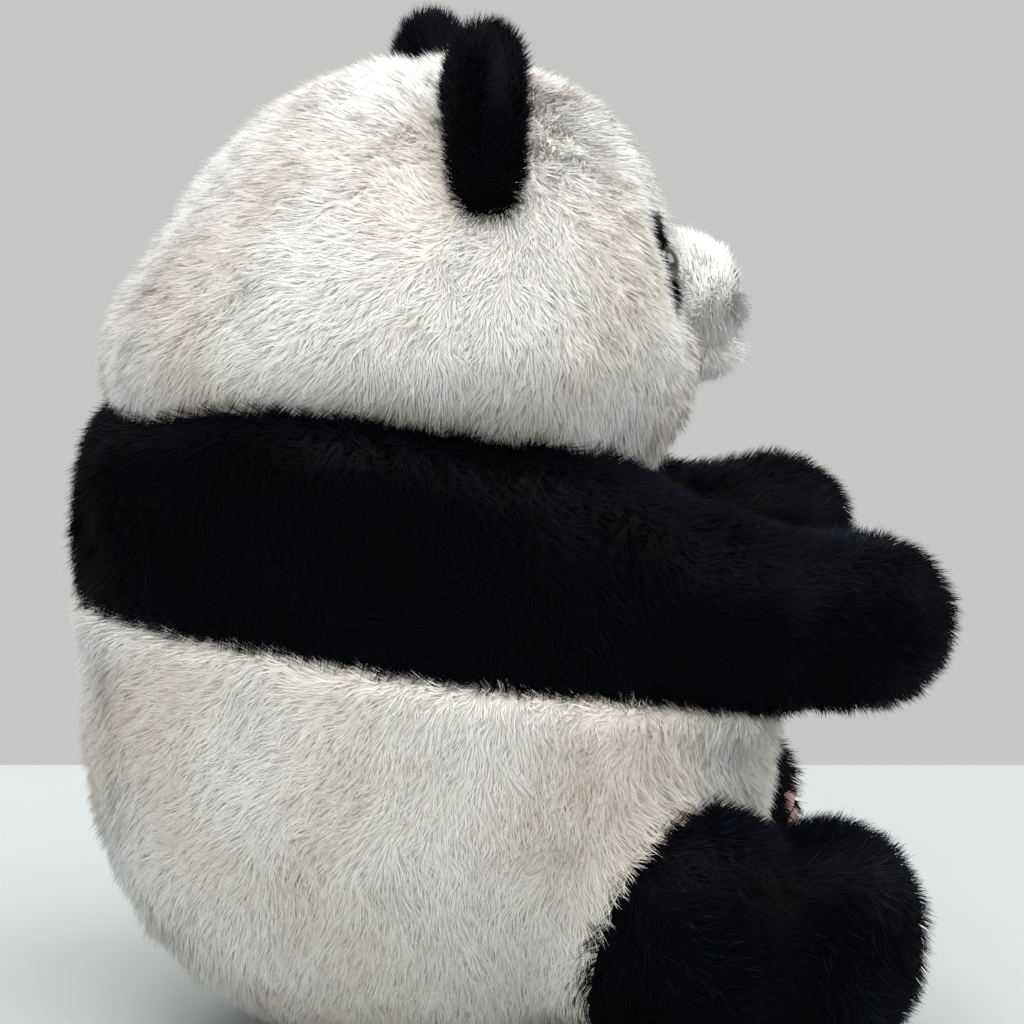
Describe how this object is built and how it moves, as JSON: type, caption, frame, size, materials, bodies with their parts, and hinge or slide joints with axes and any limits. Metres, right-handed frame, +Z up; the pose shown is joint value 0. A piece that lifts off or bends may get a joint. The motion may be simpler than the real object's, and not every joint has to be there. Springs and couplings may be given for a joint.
{
  "type": "plush panda",
  "caption": "Seated plush panda with a round white body and head, black shoulder band, stub arms held forward, short black legs and upright ears.",
  "frame": {"origin": "on the table under the panda, at the middle of its footprint's box", "axes": "+Z up, -Y the way the panda faces, +X its left side"},
  "size_m": [0.268, 0.2886, 0.3502],
  "materials": {
    "white_plush": "matte",
    "black_plush": "matte",
    "black_plastic": "gloss",
    "pad_felt": "matte",
    "fibre_stuffing": "matte",
    "bag_cloth": "matte",
    "washer_plastic": "satin"
  },
  "bodies": {
    "torso": {"shoulder_band_left": "black_plush", "shoulder_band_right": "black_plush", "lower_body_cover": "white_plush", "belly_panel": "white_plush", "seat_panel": "white_plush", "torso_stuffing": "fibre_stuffing", "pellet_bag": "bag_cloth"},
    "head": {"head_back_cover": "white_plush", "face_cover": "white_plush", "head_stuffing": "fibre_stuffing", "muzzle_cover": "white_plush", "muzzle_stuffing": "fibre_stuffing", "chin_pad": "white_plush", "nose": "black_plastic", "eye_patch_left": "black_plush", "eye_left": "black_plastic", "eye_washer_left": "washer_plastic", "eye_patch_right": "black_plush", "eye_right": "black_plastic", "eye_washer_right": "washer_plastic"},
    "ear_left": {"ear_left_cover": "black_plush", "ear_left_wadding": "fibre_stuffing"},
    "ear_right": {"ear_right_cover": "black_plush", "ear_right_wadding": "fibre_stuffing"},
    "arm_left": {"arm_left_cover": "black_plush", "arm_left_stuffing": "fibre_stuffing"},
    "arm_right": {"arm_right_cover": "black_plush", "arm_right_stuffing": "fibre_stuffing"},
    "leg_left": {"leg_left_cover": "black_plush", "leg_left_stuffing": "fibre_stuffing", "sole_left": "black_plush", "sole_pad_left": "pad_felt", "toe_pad_left_1": "pad_felt", "toe_pad_left_2": "pad_felt", "toe_pad_left_3": "pad_felt"},
    "leg_right": {"leg_right_cover": "black_plush", "leg_right_stuffing": "fibre_stuffing", "sole_right": "black_plush", "sole_pad_right": "pad_felt", "toe_pad_right_1": "pad_felt", "toe_pad_right_2": "pad_felt", "toe_pad_right_3": "pad_felt"}
  },
  "joints": [
    {"name": "neck_nod", "type": "hinge", "parent": "torso", "child": "head", "pos_m": [0, 0.02222, 0.242], "axis": [1, 0, 0], "range_deg": [-8, 8], "stiffness_Nm_per_rad": 3},
    {"name": "ear_left_fold", "type": "hinge", "parent": "head", "child": "ear_left", "pos_m": [0.066, 0.01472, 0.313], "axis": [0.8351, 0, -0.5501], "range_deg": [-20, 20], "stiffness_Nm_per_rad": 0.1},
    {"name": "ear_right_fold", "type": "hinge", "parent": "head", "child": "ear_right", "pos_m": [-0.066, 0.01472, 0.313], "axis": [-0.8351, 0, -0.5501], "range_deg": [-20, 20], "stiffness_Nm_per_rad": 0.1},
    {"name": "arm_left_raise", "type": "hinge", "parent": "torso", "child": "arm_left", "pos_m": [0.075, -0.06678, 0.15], "axis": [-1, 0, 0], "range_deg": [-18, 60], "stiffness_Nm_per_rad": 0.5},
    {"name": "arm_right_raise", "type": "hinge", "parent": "torso", "child": "arm_right", "pos_m": [-0.075, -0.06678, 0.15], "axis": [-1, 0, 0], "range_deg": [-18, 60], "stiffness_Nm_per_rad": 0.5},
    {"name": "leg_left_raise", "type": "hinge", "parent": "torso", "child": "leg_left", "pos_m": [0.09, -0.04678, 0.0485], "axis": [-1, 0, 0], "range_deg": [-12, 30], "stiffness_Nm_per_rad": 0.9},
    {"name": "leg_right_raise", "type": "hinge", "parent": "torso", "child": "leg_right", "pos_m": [-0.09, -0.04678, 0.0485], "axis": [-1, 0, 0], "range_deg": [-12, 30], "stiffness_Nm_per_rad": 0.9}
  ]
}
